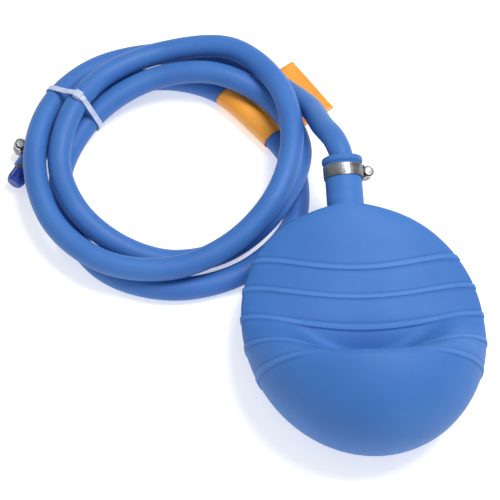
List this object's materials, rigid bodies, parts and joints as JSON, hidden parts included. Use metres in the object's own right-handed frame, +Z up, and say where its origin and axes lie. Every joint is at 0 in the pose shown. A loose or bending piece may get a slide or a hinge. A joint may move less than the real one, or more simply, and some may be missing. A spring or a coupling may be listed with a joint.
{
  "type": "inflatable pipe plug",
  "caption": "Slack ribbed rubber air bag that seals a pipe when inflated, with a coiled air hose clamped to its neck and a capped valve on the hose's end.",
  "frame": {"origin": "on the floor, under the middle of the bag", "axes": "+Y along the bag towards its neck, +Z up from the floor, +X to the side away from the coiled hose"},
  "size_m": [0.3548, 0.3972, 0.1021],
  "materials": {
    "bag_rubber": "matt moulded blue rubber with a faint satin bloom",
    "hose_rubber": "satin extruded blue rubber",
    "clip_steel": "bright rolled stainless steel",
    "valve_brass": "turned brass, lightly dulled",
    "cap_plastic": "deep blue moulded plastic",
    "washer_rubber": "black rubber washer",
    "tie_nylon": "natural milky nylon",
    "tag_film": "thin orange plastic film, satin"
  },
  "bodies": {
    "plug": {"bag": "bag_rubber", "hose": "hose_rubber", "neck_clip_band": "clip_steel", "neck_clip_housing": "clip_steel", "neck_clip_screw": "clip_steel", "neck_nipple": "valve_brass", "tail_clip_band": "clip_steel", "tail_clip_housing": "clip_steel", "tail_clip_screw": "clip_steel", "valve_stem": "valve_brass", "valve_core": "valve_brass", "cable_tie": "tie_nylon", "tag": "tag_film"},
    "cap": {"valve_cap": "cap_plastic", "cap_washer": "washer_rubber"},
    "pin": {"core_pin": "valve_brass"}
  },
  "joints": [
    {"name": "cap_slide", "type": "slide", "parent": "plug", "child": "cap", "axis": [-0.5646, -0.8254, 0], "range_m": [0, 0.02]},
    {"name": "pin_slide", "type": "slide", "parent": "plug", "child": "pin", "axis": [0.5646, 0.8254, 0], "range_m": [0, 0.0012]}
  ]
}
